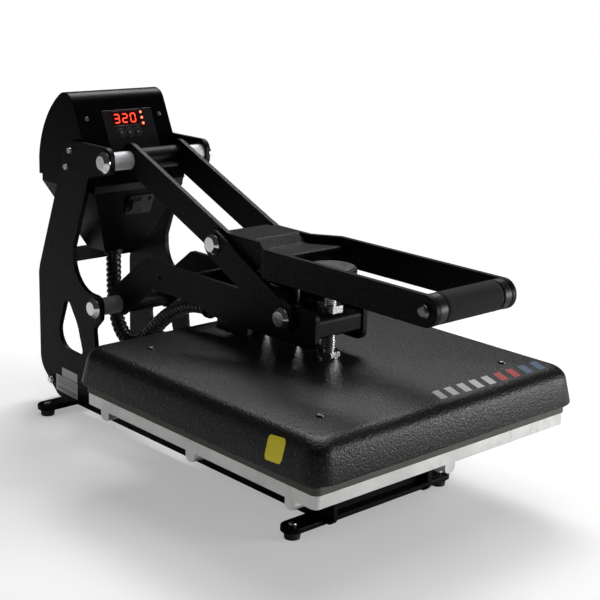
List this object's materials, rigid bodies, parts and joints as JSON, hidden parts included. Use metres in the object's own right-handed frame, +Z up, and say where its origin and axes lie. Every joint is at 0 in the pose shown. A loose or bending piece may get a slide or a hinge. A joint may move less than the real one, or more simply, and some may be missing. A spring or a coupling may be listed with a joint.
{
  "type": "clamshell heat press",
  "caption": "Clamshell heat press: ribbed work platen on a two-plate frame, covered heat platen on a toggle arm, foam-grip handle and a rear control box.",
  "frame": {"origin": "on the table, at the centre of the closed press seen from above", "axes": "+X to the right of someone who stands at the grip, +Y towards the control box, +Z up"},
  "size_m": [0.3994, 0.6932, 0.4142],
  "materials": {
    "frame_paint": "fine textured black powder coat",
    "cover_paint": "black hammered powder coat",
    "box_paint": "satin black",
    "cast_aluminium": "as cast, satin",
    "silicone": "matte",
    "polished_chrome": "polished",
    "zinc_steel": "bright zinc",
    "light_nylon": "satin",
    "dark_nylon": "satin",
    "foam": "closed-cell foam",
    "black_plastic": "satin",
    "foot_rubber": "matte",
    "face_film": "semi-gloss film",
    "display_lens": "dark red window",
    "lamp_red": "clear red",
    "disc_metal": "satin disc",
    "board_green": "solder mask",
    "mat_white": "ceramic fibre",
    "wrap_plastic": "spiral wrap",
    "wire_white": "silicone-covered wires"
  },
  "bodies": {
    "root": {"side_plate_left": "frame_paint", "side_plate_right": "frame_paint", "front_crossbar": "frame_paint", "platen_mount_bars": "frame_paint", "rear_tie_plate": "frame_paint", "rear_base_bar": "frame_paint", "base_bolts": "polished_chrome", "foot_bars": "frame_paint", "rubber_feet": "foot_rubber", "foot_screws": "zinc_steel", "work_platen": "cast_aluminium", "work_pad": "silicone", "platen_bolts": "zinc_steel", "pivot_shafts": "zinc_steel", "pivot_caps": "polished_chrome", "upper_spacers": "light_nylon", "lower_spacers": "dark_nylon", "control_box": "box_paint", "box_ends": "box_paint", "lower_housing": "box_paint", "faceplate": "face_film", "display_window": "display_lens", "status_lamps": "lamp_red", "controller_board": "board_green", "box_screws": "zinc_steel", "limit_switch": "black_plastic", "power_inlet": "black_plastic", "lead_gland": "black_plastic", "heater_lead": "wrap_plastic"},
    "arm": {"arm_plates": "frame_paint", "arm_pivot_tube": "frame_paint", "arm_channel": "frame_paint", "pressure_nut": "zinc_steel", "lead_bracket": "frame_paint"},
    "platen": {"heat_platen": "cast_aluminium", "heating_element": "zinc_steel", "insulating_mat": "mat_white", "platen_cover": "cover_paint", "cover_screws": "zinc_steel", "terminal_box": "black_plastic", "guide_studs": "zinc_steel", "heater_wires": "wire_white", "screw_keeper": "polished_chrome"},
    "screw": {"pressure_screw": "zinc_steel", "pressure_knob": "black_plastic", "knob_disc": "disc_metal"},
    "handle": {"handle_bar_left": "frame_paint", "handle_bar_right": "frame_paint", "handle_pivot_tube": "frame_paint", "handle_web": "frame_paint", "grip_rod": "zinc_steel", "grip_sleeve": "foam", "grip_collars": "black_plastic", "grip_screws": "zinc_steel"},
    "link": {"link_plates": "frame_paint", "link_bolts": "polished_chrome"},
    "button_one": {"button_1": "black_plastic"},
    "button_two": {"button_2": "black_plastic"},
    "button_three": {"button_3": "black_plastic"},
    "rocker": {"power_switch": "black_plastic"}
  },
  "joints": [
    {"name": "arm_pivot", "type": "hinge", "parent": "root", "child": "arm", "pos_m": [0, 0.21113, 0.1498], "axis": [-1, 0, 0], "range_deg": [0, 40], "deforming": ["heater_lead"]},
    {"name": "handle_pivot", "type": "hinge", "parent": "root", "child": "handle", "pos_m": [0, 0.18563, 0.339], "axis": [-1, 0, 0], "range_deg": [0, 82.22]},
    {"name": "link_pivot", "type": "hinge", "parent": "arm", "child": "link", "pos_m": [0, -0.10938, 0.2045], "axis": [1, 0, 0], "range_deg": [0, 62.59]},
    {"name": "platen_lift", "type": "slide", "parent": "arm", "child": "platen", "axis": [0, 0, 1], "range_m": [0, 0.006]},
    {"name": "knob_turn", "type": "hinge", "parent": "platen", "child": "screw", "pos_m": [0, -0.13737, 0.25], "axis": [0, 0, 1], "range_deg": [0, 1080.5]},
    {"name": "press_button_1", "type": "slide", "parent": "root", "child": "button_one", "axis": [0, 0.9048, -0.4258], "range_m": [0, 0.001], "stiffness_N_per_m": 600, "springref_m": -0.0005},
    {"name": "press_button_2", "type": "slide", "parent": "root", "child": "button_two", "axis": [0, 0.9048, -0.4258], "range_m": [0, 0.001], "stiffness_N_per_m": 600, "springref_m": -0.0005},
    {"name": "press_button_3", "type": "slide", "parent": "root", "child": "button_three", "axis": [0, 0.9048, -0.4258], "range_m": [0, 0.001], "stiffness_N_per_m": 600, "springref_m": -0.0005},
    {"name": "rocker_tip", "type": "hinge", "parent": "root", "child": "rocker", "pos_m": [0.018, 0.34213, 0.3142], "axis": [-1, 0, 0], "range_deg": [0, 16]}
  ],
  "couplings": [
    {"joint": "handle_pivot", "follows": "arm_pivot", "ratio": 2.0543},
    {"joint": "link_pivot", "follows": "arm_pivot", "ratio": 1.5636},
    {"joint": "knob_turn", "follows": "platen_lift", "rad_per_m": 3141.6}
  ]
}
